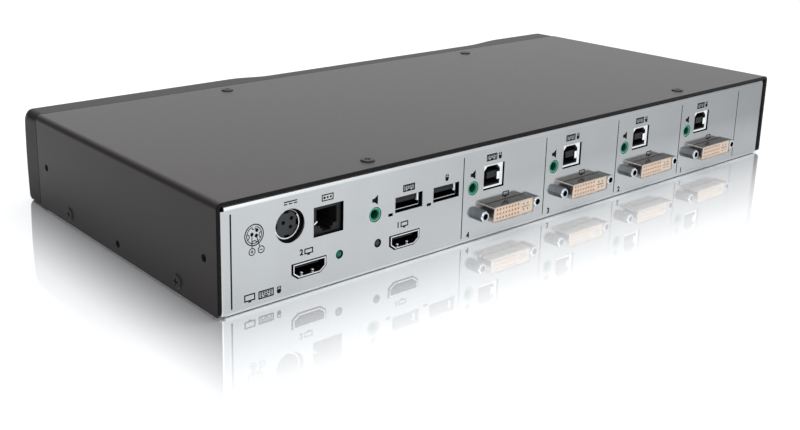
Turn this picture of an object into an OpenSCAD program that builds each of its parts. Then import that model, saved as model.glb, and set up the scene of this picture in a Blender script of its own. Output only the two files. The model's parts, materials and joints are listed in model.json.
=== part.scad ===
// Four-port desktop switch box: a sheet-metal tray and cover, a moulded front bezel with four
// channel buttons, two circuit boards and the connectors along the rear panel.
// Frame: +Z up, -Y is the front, +Y is the rear panel with the sockets, origin under the centre.

/* [Case] */
// Outside width across the cover
case_w = 357; // [354:0.5:372]
// Outside height from the tray's underside to the cover's top
case_h = 44; // [43.5:0.5:46]
// Rear face of the tray's panel, measured from the origin
panel_y = 79; // [78.5:0.5:84]
// Front of the bezel's middle part, ahead of the origin
bezel_front = 84; // [84:0.5:86]
// How much further out the two ends of the bezel stand
bezel_ends = 4.5; // [3:0.1:5]
// Thickness of the cover's sheet
cover_t = 1.5; // [1:0.1:1.6]
// Thickness of the tray's sheet
tray_t = 1; // [0.8:0.1:1.2]
// Outside radius of the cover's long bends
cover_bend = 2.6; // [2:0.1:4]
// How far the cover's rear edge stands past the panel
cover_lip = 0.6; // [0:0.1:1]

/* [Rear ports] */
// Distance from one computer port to the next
port_pitch = 52.1; // [51:0.1:53]
// X of the line at the left of computer port 4, seen from behind
port_start_x = 56.8; // [55:0.1:58]
// Height of the video sockets and their jackscrews
dvi_z = 11.7; // [11.5:0.1:12]
// Distance between the two jackscrews of a video socket
jackscrew_pitch = 33.32; // [33:0.01:33.6]
// Height of the audio jacks
audio_z = 24.1; // [24:0.1:24.6]
// Bore of the audio jacks, for a 3.5 mm plug
audio_bore_d = 3.6; // [3.55:0.05:3.8]
// Height of the HDMI sockets
hdmi_z = 10.1; // [10:0.1:10.5]
// X of the two HDMI sockets
hdmi_x = [89.5, 137.7];
// X of the two USB-A sockets
usb_a_x = [87.5, 66.65];
// X of the console audio jack
console_audio_x = 105.3; // [104:0.1:106]
// X of the round power socket
power_x = 146.5; // [145:0.1:150]
// Height of the round power socket
power_z = 28.7; // [28:0.1:29]
// X of the remote control socket
remote_x = 128.5; // [127:0.1:129]
// X of the two rear status lights
rear_led_x = [103.7, 123.1];
// Height of the two rear status lights
rear_led_z = 11.8; // [11:0.1:12.5]

/* [Front panel] */
// Middle of the row of channel buttons
button_mid_x = -34; // [-36:1:-32]
// Distance between channel buttons
button_pitch = 30; // [26:1:32]
// Width of a channel button
button_w = 16; // [12:0.5:18]
// Height of a channel button
button_h = 8; // [7:0.5:9]
// Height of the buttons' centre line
button_z = 20; // [19:0.5:21]
// How far a button stands out of the bezel
button_proud = 1; // [0.9:0.05:1.1]
// How far a button travels
button_travel = 0.8; // [0.5:0.1:0.8]
// Height of the light pipes
pipe_z = 31; // [30:0.5:32]

/* [Boards] */
// Top face of the lower board
lower_top = 6.6; // [6.4:0.1:6.8]
// Top face of the upper board
upper_top = 21.6; // [21.5:0.1:21.6]
// Thickness of the circuit boards
board_t = 1.6; // [1.4:0.1:1.6]

/* [Hidden] */
$fn = 48;

// ---- derived case sizes
half_w = case_w / 2;
tray_w = case_w - 2 * cover_t - 0.2;
tray_half = tray_w / 2;
panel_top = case_h - cover_t - 0.2;
tray_bend = 1.6;
foot_bend = tray_t + 0.1;
corner_notch = 2;
corner_foot = 0.8;
front_wall_y = -71.5;
cover_front_y = -72;
bezel_back_y = -72.4;
tab_len = 14;
side_flange_h = 12;
cover_foot = 0.9;
cover_corner_r = 1.5;

// ---- holes and screws of the case
case_hole_r = 1.6;
ear_z = 21.2;
ear_y = [-63.3, 70.8];
mid_hole = [3.8, 5.6];
side_screw_y = [-41.4, 51.2];
side_screw_z = 5.6;
top_screws = [[103, 71], [-105.8, 71], [82, -63.5], [-86.1, -63.5]];
screw_head_r = 3;
screw_head_h = 0.6;

// ---- rear sockets
port_numbers = [1, 2, 3, 4];
audio_offset = 6.06;
usb_b_offset = 18.6;
dvi_offset = 26.4;
usb_b_z = 27.2;
usb_a_z = 25.65;
remote_z = 27.35;
cut_depth = 6;
usb_a_recess = 1.3;
usb_b_recess = 0.5;
hdmi_proud = 0.4;
power_ring_y = panel_y - 2;
audio_collar_r = 2.75;
audio_lip_r = 2.5;
audio_front_y = panel_y - 0.1;
audio_funnel = 0.4;
board_rear_y = 76.5;
upper_front_y = 14;
lower_front_y = -60;
board_half_w = 170;
dvi_front_y = panel_y + 5.6;
dvi_w = 25.8;
dvi_h = 7.2;
dvi_skin = 0.35;
dvi_taper = 0.3;
jackscrew_len = 4.6;
jackscrew_flats = 4.5;
jackscrew_tip_r = 1.95;
jackscrew_bore_r = 1.42;
screw_pass_r = 1.75;
core_pass_r = 2.1;

// ---- front panel
buttons = [0, 1, 2, 3];
button_board_y = -73.5;
plunger_end_y = -75.2;
bezel_wall = 2.5;
bezel_r = 4;
bezel_bulge_r = 240;
bezel_hooks = [-150, -30, 110, 150];
step_left = [-136, -105];
step_right = [45, 66];
power_pipe_x = 37;
button_board_x = [-106, 56];
dish_r = 40;
dish_depth = 0.3;
board_posts = [[-98, 12], [-98, 33], [44, 12], [44, 33]];
ribbon_x = 20;
ribbon_w = 16;
ribbon_z = 24;
link_x = 100;

// ---- board fixings
spacer_x = [-160, -48.5, 56, 160];
spacer_y = [22, 60];
front_fix = [[-160, -48], [-55, -48], [60, -48], [160, -48]];

function port_x(port) = port_start_x - port_pitch * (4 - port);
function button_x(i) = button_mid_x + (i - 1.5) * button_pitch;

// ---- shared shapes
module block(low, high) {
    translate(low) cube(high - low);
}

// A rod along Y from y0 to y1
module rod_y(x, y0, y1, z, r) {
    translate([x, y0, z]) rotate([-90, 0, 0]) cylinder(h = y1 - y0, r = r);
}

// A rod along X from x0 to x1
module rod_x(x0, x1, y, z, r) {
    translate([x0, y, z]) rotate([0, 90, 0]) cylinder(h = x1 - x0, r = r);
}

// A vertical rod
module rod_z(x, y, z0, z1, r) {
    translate([x, y, z0]) cylinder(h = z1 - z0, r = r);
}

// Draw an X-Z outline and carry it from y0 to y1
module along_y(y0, y1) {
    translate([0, y1, 0]) rotate([90, 0, 0]) linear_extrude(y1 - y0) children();
}

// Draw a Y-Z outline and carry it from x0 to x1
module along_x(x0, x1) {
    translate([x0, 0, 0]) rotate([90, 0, 90]) linear_extrude(x1 - x0) children();
}

// One quarter of a ring, from +X to +Y
module quarter_ring(r, t) {
    intersection() {
        difference() {
            circle(r);
            circle(r - t);
        }
        square(r);
    }
}

// Rectangle with round corners, centred
module round_rect(w, h, r) {
    square([w - 2 * r, h], center = true);
    square([w, h - 2 * r], center = true);
    for (sx = [-1, 1], sy = [-1, 1])
        translate([sx * (w / 2 - r), sy * (h / 2 - r)]) circle(r);
}

// HDMI outline: flat top, the two lower corners cut off
module hdmi_outline(w, h, cut) {
    polygon([[-w / 2, h / 2], [w / 2, h / 2], [w / 2, cut - h / 2], [w / 2 - 1.3 * cut, -h / 2],
             [1.3 * cut - w / 2, -h / 2], [-w / 2, cut - h / 2]]);
}

// USB-B outline: the two upper corners cut off
module usb_b_outline(w, h, cut) {
    polygon([[-w / 2, -h / 2], [w / 2, -h / 2], [w / 2, h / 2 - cut], [w / 2 - cut, h / 2],
             [cut - w / 2, h / 2], [-w / 2, h / 2 - cut]]);
}

// DVI outline: wider at the top, with round corners
module dvi_outline(grow) {
    hull()
        for (corner = [[-1, -1], [1, -1], [-1, 1], [1, 1]])
            translate([corner[0] * (dvi_w / 2 - 1 - (corner[1] > 0 ? dvi_taper : 0)),
                       corner[1] * (dvi_h / 2 - 1)])
                circle(1 + grow, $fn = 32);
}

// ---- tray: floor, rear panel, front wall and the flanges that carry the cover
module tray_lengthwise() {
    floor_from = front_wall_y + foot_bend;
    rear_in = panel_y - tray_bend;
    translate([floor_from, 0]) square([panel_y - foot_bend - floor_from, tray_t]);
    for (end = [0, 1]) {
        translate(end == 0 ? [0, 0] : [front_wall_y + panel_y, 0]) mirror([end, 0]) {
            translate([panel_y - foot_bend, foot_bend]) mirror([0, 1]) quarter_ring(foot_bend, tray_t);
            translate([panel_y - tray_t, foot_bend]) square([tray_t, panel_top - tray_bend - foot_bend]);
            translate([rear_in, panel_top - tray_bend]) quarter_ring(tray_bend, tray_t);
            translate([rear_in - 12, panel_top - tray_t]) square([12, tray_t]);
        }
    }
}

// The ends of the rear panel (facing = 1) or the front wall (facing = -1), bent round to the sides
module tray_end_wall(y, facing) {
    for (side = [-1, 1]) scale([side, 1, 1]) translate([0, y, 0]) {
        translate([0, 0, corner_foot]) linear_extrude(panel_top - corner_notch - corner_foot) {
            translate([tray_half - corner_notch - 1, facing > 0 ? -tray_t : 0])
                square([corner_notch + 1 - tray_bend, tray_t]);
            translate([tray_half - tray_bend, -facing * tray_bend]) mirror([0, facing > 0 ? 0 : 1])
                quarter_ring(tray_bend, tray_t);
        }
        translate([tray_half - tray_t, facing > 0 ? -tab_len : tray_bend, corner_notch])
            cube([tray_t, tab_len - tray_bend, panel_top - 2 * corner_notch]);
    }
}

module tray_side_flange(side) {
    y0 = front_wall_y + corner_notch;
    y1 = panel_y - corner_notch;
    scale([side, 1, 1]) along_y(y0, y1) {
        translate([tray_half - foot_bend - 2, 0]) square([2, tray_t]);
        translate([tray_half - foot_bend, foot_bend]) mirror([0, 1]) quarter_ring(foot_bend, tray_t);
        translate([tray_half - tray_t, foot_bend]) square([tray_t, side_flange_h - foot_bend]);
    }
}

// Everything that is cut out of the rear panel
module panel_cuts() {
    y0 = panel_y - cut_depth;
    y1 = panel_y + 1;
    rod_y(power_x, y0, y1, power_z, 6.65);
    block([remote_x - 7.15, y0, remote_z - 5.95], [remote_x + 7.15, y1, remote_z + 5.95]);
    for (x = hdmi_x)
        translate([x, 0, hdmi_z - 0.15]) along_y(y0, y1) hdmi_outline(16.5, 6.5, 2.2);
    for (x = usb_a_x) {
        block([x - 7.4, y0, usb_a_z - 3.25], [x + 7.4, y1, usb_a_z + 3.25]);
        block([x + 8.6, y0, usb_a_z - 4], [x + 10.95, y1, usb_a_z - 2.8]);
    }
    for (x = rear_led_x) rod_y(x, y0, y1, rear_led_z, 1.8);
    rod_y(console_audio_x, y0, y1, audio_z, 3.1);
    for (port = port_numbers) {
        rod_y(port_x(port) - audio_offset, y0, y1, audio_z, 3.1);
        block([port_x(port) - usb_b_offset - 6.35, y0, usb_b_z - 5.5],
              [port_x(port) - usb_b_offset + 6.35, y1, usb_b_z + 5.5]);
        translate([port_x(port) - dvi_offset, 0, dvi_z]) along_y(y0, y1) dvi_outline(0.15);
        for (s = [-1, 1])
            rod_y(port_x(port) - dvi_offset + s * jackscrew_pitch / 2, y0, y1, dvi_z, screw_pass_r);
    }
}

module base_tray() {
    color("#c9cdcf") difference() {
        union() {
            along_x(corner_notch - tray_half, tray_half - corner_notch) tray_lengthwise();
            tray_end_wall(panel_y, 1);
            tray_end_wall(front_wall_y, -1);
            for (side = [-1, 1]) tray_side_flange(side);
        }
        panel_cuts();
        // cable slot and clearance for the button board's screws in the front wall
        block([ribbon_x - 13, front_wall_y - 1, ribbon_z - 6],
              [ribbon_x + 13, front_wall_y + 3, ribbon_z + 6]);
        for (post = board_posts) rod_y(post[0], front_wall_y - 1, front_wall_y + 3, post[1], 3.4);
        // slots for the bezel's hooks
        for (x = bezel_hooks)
            block([x - 5.2, front_wall_y - 1, 35], [x + 5.2, front_wall_y + 3, 38.2]);
        case_holes(case_hole_r);
    }
}

// The holes that the cover and the tray's flanges share
module case_holes(r) {
    for (side = [-1, 1]) {
        x0 = side > 0 ? half_w - 5 : -half_w - 1;
        for (y = ear_y) rod_x(x0, x0 + 6, y, ear_z, r);
        rod_x(x0, x0 + 6, mid_hole[0], mid_hole[1], r);
        for (y = side_screw_y) rod_x(x0, x0 + 6, y, side_screw_z, r);
    }
    for (hole = top_screws) rod_z(hole[0], hole[1], case_h - 6, case_h + 1, r);
}

module top_cover() {
    flat = half_w - cover_bend;
    color("#4b494c") difference() {
        along_y(cover_front_y, panel_y + cover_lip) {
            translate([-flat, case_h - cover_t]) square([2 * flat, cover_t]);
            for (end = [0, 1]) mirror([end, 0]) {
                translate([flat, case_h - cover_bend]) quarter_ring(cover_bend, cover_t);
                translate([half_w - cover_t, cover_foot])
                    square([cover_t, case_h - cover_bend - cover_foot]);
            }
        }
        case_holes(case_hole_r);
        // round lower corners at the rear
        for (end = [0, 1]) mirror([end, 0, 0]) along_x(half_w - cover_t - 1, half_w + 1)
            translate([panel_y + cover_lip - cover_corner_r, cover_foot]) difference() {
                translate([0, -1]) square(cover_corner_r + 1);
                translate([0, cover_corner_r]) circle(cover_corner_r);
            }
    }
}

// A screw standing on the Z axis: the head's underside is at z = 0 and the shank points down
module case_screw(length) {
    difference() {
        union() {
            rotate_extrude() polygon([[0, 0], [screw_head_r, 0], [screw_head_r, 0.2],
                                      [screw_head_r - 0.35, screw_head_h], [0, screw_head_h]]);
            translate([0, 0, -length]) cylinder(h = length, r = 1.5);
        }
        for (turn = [0, 90])
            rotate(turn) translate([-1.6, -0.3, -0.5]) cube([3.2, 0.6, 2]);
    }
}

module cover_screws() {
    color("#3b3a3c") {
        for (hole = top_screws)
            translate([hole[0], hole[1], case_h]) case_screw(4.2);
        for (side = [-1, 1], y = side_screw_y)
            translate([side * half_w, y, side_screw_z]) rotate([0, side * 90, 0]) case_screw(4.2);
    }
}

// ---- front bezel
// Goes from 0 to 1 between the two ends of a range, with a smooth start and finish
function rise(x, ends) =
    let (t = max(0, min(1, (x - ends[0]) / (ends[1] - ends[0])))) t * t * (3 - 2 * t);

// How far a round corner of radius r has fallen, d before its end
function fall(d, r) = d >= r ? 0 : r - sqrt(max(0, r * r - (r - d) * (r - d)));

// Y of the bezel's front at x: both ends stand out further than the middle
function bezel_y(x, w) =
    -bezel_front - bezel_ends * (1 - rise(x, step_left) + rise(x, step_right))
    + fall(w / 2 - abs(x), bezel_r);

// Round edge of the bezel's section, reach above or below its middle, as points [y, height]
function bezel_arc(front, reach, r) =
    let (rim = reach - r, sag = rim * rim / (2 * bezel_bulge_r))
    [for (a = [0 : 15 : 90]) [front + sag + r - r * sin(a), rim + r * cos(a)]];

// The bezel's section at x as a ring of points from the lower rear edge to the upper one; drop is
// how far its upper edge has come down there, and the lower edge is half as round
function bezel_ring(x, front, h, drop, back, r) =
    let (low = bezel_arc(front, h / 2 - drop / 2, r / 2),
         high = bezel_arc(front, h / 2 - drop, r))
    [for (p = concat([[back, drop / 2 - h / 2]],
                     [for (p = low) [p[0], -p[1]]],
                     [for (z = [-12 : 6 : 12]) [front + z * z / (2 * bezel_bulge_r), z]],
                     [for (i = [len(high) - 1 : -1 : 0]) high[i]],
                     [[back, h / 2 - drop]]))
        [x, p[0], case_h / 2 + p[1]]];

// Solid form of the bezel: bulged face, round edges, ends ahead of the middle; inset shrinks it
module bezel_form(inset) {
    w = case_w - 2 * inset;
    h = case_h - 2 * inset;
    back = bezel_back_y + (inset > 0 ? 1 : 0);
    corner = [for (a = [0 : 15 : 90]) bezel_r * (1 - cos(a))];
    xs = concat([for (d = corner) d - w / 2],
                [for (i = [0 : 8]) step_left[0] + i * (step_left[1] - step_left[0]) / 8],
                [for (i = [0 : 8]) step_right[0] + i * (step_right[1] - step_right[0]) / 8],
                [for (i = [len(corner) - 1 : -1 : 0]) w / 2 - corner[i]]);
    rings = [for (x = xs) bezel_ring(x, bezel_y(x, w) + inset, h, fall(w / 2 - abs(x), bezel_r),
                                     back, bezel_r - 0.8 * inset)];
    n = len(rings[0]);
    last = len(xs) - 1;
    polyhedron(
        points = [for (ring = rings) for (p = ring) p],
        faces = concat(
            [[for (k = [n - 1 : -1 : 0]) k]],
            [for (i = [0 : last - 1], k = [0 : n - 1])
                [i * n + k, (i + 1) * n + (k + 1) % n, (i + 1) * n + k]],
            [for (i = [0 : last - 1], k = [0 : n - 1])
                [i * n + k, i * n + (k + 1) % n, (i + 1) * n + (k + 1) % n]],
            [[for (k = [0 : n - 1]) last * n + k]]));
}

module front_bezel() {
    color("#3a3b3a") difference() {
        union() {
            difference() {
                bezel_form(0);
                bezel_form(bezel_wall);
            }
            // posts for the button board
            for (post = board_posts)
                rod_y(post[0], -bezel_front + 2, button_board_y, post[1], 3);
            // hooks that snap through the tray's front wall
            intersection() {
                bezel_form(bezel_wall / 2);
                for (x = bezel_hooks)
                    block([x - 5, -bezel_front - bezel_ends, 36], [x + 5, bezel_back_y, 37.6]);
            }
            for (x = bezel_hooks) {
                block([x - 5, bezel_back_y, 36], [x + 5, front_wall_y + 2.6, 37.6]);
                block([x - 5, front_wall_y + 1.2, 37.6], [x + 5, front_wall_y + 2.6, 38.8]);
            }
        }
        for (i = buttons) {
            translate([button_x(i), 0, button_z]) along_y(-bezel_front - 2, -bezel_front + 4)
                round_rect(button_w + 0.6, button_h + 0.6, 2.3);
            rod_y(button_x(i), -bezel_front - 2, -bezel_front + 4, pipe_z, 1.6);
        }
        rod_y(power_pipe_x, -bezel_front - 2, -bezel_front + 4, pipe_z, 1.6);
        for (post = board_posts)
            rod_y(post[0], button_board_y - 5, button_board_y + 1, post[1], 1.1);
    }
}

// ---- channel buttons and what they press
module channel_button(i) {
    face_y = -bezel_front - button_proud;
    flange_y = -bezel_front + bezel_wall + 0.3;
    color("#8d9093") translate([button_x(i), 0, button_z]) difference() {
        union() {
            along_y(face_y + 0.5, flange_y + 0.2) round_rect(button_w, button_h, 2);
            along_y(face_y, face_y + 0.5) round_rect(button_w - 1, button_h - 1, 1.5);
            along_y(flange_y, flange_y + 1) round_rect(button_w + 2.4, button_h + 2, 2);
            rod_y(0, flange_y, -78, 0, 2);
        }
        // shallow finger dish
        translate([0, face_y - dish_r + dish_depth, 0]) rotate([0, 90, 0])
            cylinder(h = button_w - 5, r = dish_r, center = true, $fn = 180);
    }
}

module switch_plunger(i) {
    color("#2a2a2c") rod_y(button_x(i), -78, plunger_end_y, button_z, 1.6);
}

module tact_switches() {
    color("#1d1d20") for (i = buttons) difference() {
        block([button_x(i) - 3, -77, button_z - 3], [button_x(i) + 3, button_board_y, button_z + 3]);
        rod_y(button_x(i), -78, plunger_end_y + button_travel + 0.3, button_z, 1.75);
    }
}

module button_board() {
    color("#1f6b3a") difference() {
        block([button_board_x[0], button_board_y, 8.5], [button_board_x[1], button_board_y + board_t, 35.6]);
        for (post = board_posts) rod_y(post[0], button_board_y - 1, button_board_y + 3, post[1], 1.35);
    }
}

module light_pipes() {
    color("#e6efe8") for (x = [for (i = buttons) button_x(i), power_pipe_x])
        rod_y(x, -bezel_front + 0.35, -77.2, pipe_z, 1.5);
}

// A 3 mm light on the Y axis: base at y = 0, dome towards +Y
module led_3mm() {
    rotate([-90, 0, 0]) rotate_extrude()
        polygon(concat([[0, 0], [1.7, 0], [1.7, 0.8], [1.5, 0.8], [1.5, 2.2]],
                       [for (a = [10 : 20 : 90]) [1.5 * cos(a), 2.2 + 1.5 * sin(a)]]));
}

// A light behind the rear panel, with its holder on the lower board
module rear_led(x) {
    translate([x, panel_y - 3.4, rear_led_z]) led_3mm();
    block([x - 1.6, panel_y - 7, lower_top], [x + 1.6, panel_y - 3.4, rear_led_z + 1.7]);
}

module status_leds() {
    color("#2f9a5a") {
        for (x = [for (i = buttons) button_x(i), power_pipe_x])
            translate([x, button_board_y, pipe_z]) mirror([0, 1, 0]) scale(0.95) led_3mm();
        rear_led(rear_led_x[1]);
    }
}

// The rear light that is dark
module idle_led() {
    color("#3c4441") rear_led(rear_led_x[0]);
}

// ---- flat cable from the button board to the lower board
module ribbon_cable() {
    bend_r = 5.5;
    thick = 1;
    run_y = -58;
    color("#8f8f94") along_x(ribbon_x - ribbon_w / 2, ribbon_x + ribbon_w / 2) {
        translate([-64.5, ribbon_z - thick]) square([run_y + 64.5, thick]);
        translate([run_y, ribbon_z - bend_r]) quarter_ring(bend_r, thick);
        translate([run_y + bend_r - thick, 14]) square([thick, ribbon_z - bend_r - 14]);
    }
}

module ribbon_sockets() {
    color("#e9e6da") {
        block([ribbon_x - 10, button_board_y + board_t, ribbon_z - 3.5],
              [ribbon_x + 10, -64.5, ribbon_z + 2.5]);
        block([ribbon_x - 10, -56, lower_top], [ribbon_x + 10, -50, 14]);
    }
}

// ---- circuit boards and their fixings
module lower_board() {
    color("#1f6b3a") difference() {
        block([-board_half_w, lower_front_y, lower_top - board_t],
              [board_half_w, board_rear_y, lower_top]);
        for (x = spacer_x, y = spacer_y) rod_z(x, y, 0, 10, 1.6);
        for (p = front_fix) rod_z(p[0], p[1], 0, 10, 1.6);
    }
}

module upper_board() {
    color("#1f6b3a") difference() {
        block([-board_half_w, upper_front_y, upper_top - board_t],
              [board_half_w, board_rear_y, upper_top]);
        for (x = spacer_x, y = spacer_y) rod_z(x, y, upper_top - 4, upper_top + 2, 1.6);
    }
}

module tray_standoffs() {
    color("#b9b9bd") for (p = concat([for (x = spacer_x, y = spacer_y) [x, y]], front_fix))
        difference() {
            rod_z(p[0], p[1], tray_t, lower_top - board_t, 3);
            rod_z(p[0], p[1], tray_t + 0.6, lower_top, 1.3);
        }
}

module board_spacers() {
    color("#c2a24a") for (x = spacer_x, y = spacer_y) difference() {
        union() {
            translate([x, y, lower_top])
                cylinder(h = upper_top - board_t - lower_top, d = 5.5 / cos(30), $fn = 6);
            rod_z(x, y, lower_top - board_t - 2, lower_top, 1.25);
        }
        rod_z(x, y, upper_top - board_t - 6, upper_top, 1.3);
    }
}

// A small pan-head screw on the Z axis, head underside at z = 0
module board_screw() {
    difference() {
        union() {
            cylinder(h = 1.6, r = 2.4);
            translate([0, 0, -4.5]) cylinder(h = 4.5, r = 1.2);
        }
        for (turn = [0, 90]) rotate(turn) translate([-1.3, -0.3, 0.6]) cube([2.6, 0.6, 2]);
    }
}

module board_screws() {
    color("#c9c9cc") {
        for (x = spacer_x, y = spacer_y) translate([x, y, upper_top]) board_screw();
        for (p = front_fix) translate([p[0], p[1], lower_top]) board_screw();
        for (post = board_posts)
            translate([post[0], button_board_y + board_t, post[1]]) rotate([-90, 0, 0])
                scale(0.85) board_screw();
    }
}

module board_link() {
    color("#26262a")
        block([link_x - 20, 28, lower_top], [link_x + 20, 33, upper_top - board_t]);
}

// ---- parts on the boards
module chip(x, y, z, side, high) {
    block([x - side / 2, y - side / 2, z], [x + side / 2, y + side / 2, z + high]);
}

module chips() {
    color("#222226") {
        chip(0, -15, lower_top, 27, 2);
        for (port = port_numbers) chip(port_x(port) - dvi_offset, 34, lower_top, 12, 1.4);
        for (x = hdmi_x) chip(x, 44, lower_top, 9, 1.2);
        chip(-95, -20, lower_top, 18, 1.6);
        chip(95, -15, lower_top, 14, 1.6);
        chip(0, 28, upper_top, 16, 1.6);
        for (port = port_numbers) chip(port_x(port) - usb_b_offset - 2, 44, upper_top, 7, 1.2);
        chip(108, 52, upper_top, 7, 1.2);
    }
}

module heat_sink() {
    fins = 9;
    size = 32;
    color("#9aa0a6") translate([0, -15, lower_top + 2]) {
        block([-size / 2, -size / 2, 0], [size / 2, size / 2, 3]);
        for (i = [0 : fins - 1]) {
            x = -size / 2 + i * (size - 1.2) / (fins - 1);
            block([x, -size / 2, 3], [x + 1.2, size / 2, 14]);
        }
    }
}

module capacitors() {
    color("#39406b") {
        for (x = [132, 142, 152]) rod_z(x, 36, upper_top, upper_top + 12, 4);
        for (x = [-130, -60, 50]) rod_z(x, 8, lower_top, lower_top + 10, 4);
    }
}

module power_coil() {
    color("#50453a") {
        block([130, 22, upper_top], [142, 30, upper_top + 1]);
        translate([136, 26, upper_top + 1]) rotate_extrude()
            translate([2, 0]) square([2, 5]);
    }
}

// ---- round power socket
module power_jack_housing() {
    color("#18191b") difference() {
        block([power_x - 7, 62, upper_top], [power_x + 7, board_rear_y, power_z + 7]);
        rod_y(power_x, 64, panel_y, power_z, 5.85);
    }
}

module power_jack_shield() {
    color("#d5d8da") difference() {
        rod_y(power_x, 64, power_ring_y, power_z, 5.75);
        rod_y(power_x, 63, panel_y, power_z, 5.55);
    }
}

// Places of the power socket's three pins
module power_pins() {
    for (p = [[1.4, 0.7], [-2.26, 1.9], [-1.84, -1.4]])
        translate([power_x + p[0], 0, power_z + p[1]]) children();
}

module power_jack_core() {
    color("#2e3335") difference() {
        rod_y(power_x, 64, power_ring_y - 0.3, power_z, 5);
        power_pins() rod_y(0, 66, panel_y, 0, 0.8);
        for (turn = [0, 90, 180, 270])
            translate([power_x, 0, power_z]) rotate([0, turn, 0])
                block([-1.1, 68, 4.2], [1.1, panel_y, 6]);
    }
}

// ---- remote control socket
module remote_jack() {
    front = panel_y - 1.4;
    color("#1b1b1d") difference() {
        block([remote_x - 6.9, 62, upper_top], [remote_x + 6.9, front, remote_z + 5.7]);
        block([remote_x - 4.9, 64.5, remote_z - 2.4], [remote_x + 4.9, panel_y, remote_z + 4.3]);
        block([remote_x - 3.1, 64.5, remote_z - 3.6], [remote_x + 3.1, panel_y, remote_z - 2.3]);
        block([remote_x - 2, 64.5, remote_z - 4.8], [remote_x + 2, panel_y, remote_z - 3.5]);
    }
}

// ---- HDMI sockets
module hdmi_shell(x) {
    front = panel_y + hdmi_proud;
    color("#cfd3d5") translate([x, 0, hdmi_z]) difference() {
        union() {
            along_y(66, front) hdmi_outline(15.1, 5.5, 1.9);
            block([-7.2, 66, lower_top - hdmi_z], [7.2, 75, -1]);
        }
        along_y(66.5, front + 1) hdmi_outline(14.3, 4.7, 1.75);
    }
}

module hdmi_tongues() {
    color("#26272a") for (x = hdmi_x) translate([x, 0, hdmi_z]) {
        along_y(66.5, 68) hdmi_outline(14.2, 4.6, 1.72);
        block([-5.6, 68, 0.5], [5.6, panel_y - 1.6, 1.1]);
    }
}

// ---- USB-A sockets
module usb_a_shell(x) {
    color("#cfd3d5") translate([x, 0, usb_a_z]) difference() {
        union() {
            block([-6.6, 63, -2.45], [6.6, panel_y - usb_a_recess, 2.85]);
            block([-6.6, 63, upper_top - usb_a_z], [6.6, board_rear_y, 0]);
        }
        block([-6.25, 63.5, -2.15], [6.25, panel_y, 2.55]);
    }
}

module usb_a_tongues() {
    color("#17181a") for (x = usb_a_x) translate([x, 0, usb_a_z]) {
        block([-6.2, 63.5, -2.1], [6.2, 65.5, 2.5]);
        block([-5.6, 65.5, 0.1], [5.6, panel_y - usb_a_recess - 0.6, 1.9]);
    }
}

// ---- USB-B sockets
// The opening for the plug, made smaller all round by inset
module usb_b_opening(inset) {
    translate([0.6, 0.4]) usb_b_outline(9.8 - 2 * inset, 8.9 - 2 * inset, 1.9);
}

module usb_b_shell(port) {
    front = panel_y - usb_b_recess;
    color("#d3d6d8") translate([port_x(port) - usb_b_offset + 0.3, 0, usb_b_z]) difference() {
        union() {
            block([-6, 62, -4.9], [6, front, 5.3]);
            block([-6, 62, upper_top - usb_b_z], [6, board_rear_y, 0]);
        }
        block([-5.6, 62.4, -4.5], [5.6, front - 0.4, 4.9]);
        along_y(62.5, panel_y) usb_b_opening(0);
    }
}

module usb_b_cores() {
    color("#1c1c1f") for (port = port_numbers)
        translate([port_x(port) - usb_b_offset + 0.3, 0, usb_b_z]) {
            difference() {
                block([-5.5, 62.5, -4.4], [5.5, panel_y - usb_b_recess - 0.5, 4.8]);
                along_y(65, panel_y) usb_b_opening(0.4);
            }
            block([-3.1, 65, -0.85], [3.1, panel_y - usb_b_recess - 0.6, 2.05]);
        }
}

// ---- DVI sockets
module dvi_shell(port) {
    color("#c8cbcd") translate([port_x(port) - dvi_offset, 0, dvi_z]) difference() {
        union() {
            along_y(panel_y - 1.6, dvi_front_y) dvi_outline(0);
            block([-20, panel_y - tray_t - 1, -4.6], [20, panel_y - tray_t, 4.8]);
        }
        along_y(panel_y - 3, dvi_front_y + 1) dvi_outline(-dvi_skin);
        for (s = [-1, 1])
            rod_y(s * jackscrew_pitch / 2, panel_y - 3, panel_y, 0, screw_pass_r);
    }
}

// Places of the 24 signal contacts and the 4 analogue ones
module dvi_contacts() {
    for (col = [0 : 7], row = [-1 : 1])
        translate([10.2 - 1.905 * col, 0, 1.905 * row]) children();
}

module dvi_core(port) {
    color("#e9d6bd") translate([port_x(port) - dvi_offset, 0, dvi_z]) difference() {
        union() {
            along_y(58, dvi_front_y - 0.3) dvi_outline(-dvi_skin);
            block([-19.5, 60, lower_top - dvi_z], [19.5, panel_y - tray_t - 1, 4.8]);
        }
        dvi_contacts() block([-0.45, panel_y, -0.45], [0.45, dvi_front_y + 1, 0.45]);
        block([-10.6, panel_y + 1, -0.2], [-5.2, dvi_front_y + 1, 0.2]);
        for (x = [-9.2, -6.6], z = [-1.3, 1.3])
            block([x - 0.45, panel_y, z - 0.45], [x + 0.45, dvi_front_y + 1, z + 0.45]);
        for (s = [-1, 1])
            rod_y(s * jackscrew_pitch / 2, 68, panel_y, 0, core_pass_r);
    }
}

module dvi_jackscrews() {
    color("#d9dcde") for (port = port_numbers, s = [-1, 1])
        translate([port_x(port) - dvi_offset + s * jackscrew_pitch / 2, 0, dvi_z]) difference() {
            union() {
                translate([0, panel_y, 0]) rotate([-90, 0, 0]) intersection() {
                    cylinder(h = jackscrew_len, d = jackscrew_flats / cos(30), $fn = 6);
                    cylinder(h = jackscrew_len, r1 = jackscrew_len + jackscrew_tip_r, r2 = jackscrew_tip_r);
                }
                rod_y(0, 71, panel_y, 0, 1.4);
            }
            rod_y(0, panel_y + 0.6, panel_y + 5, 0, jackscrew_bore_r);
        }
}

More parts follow.
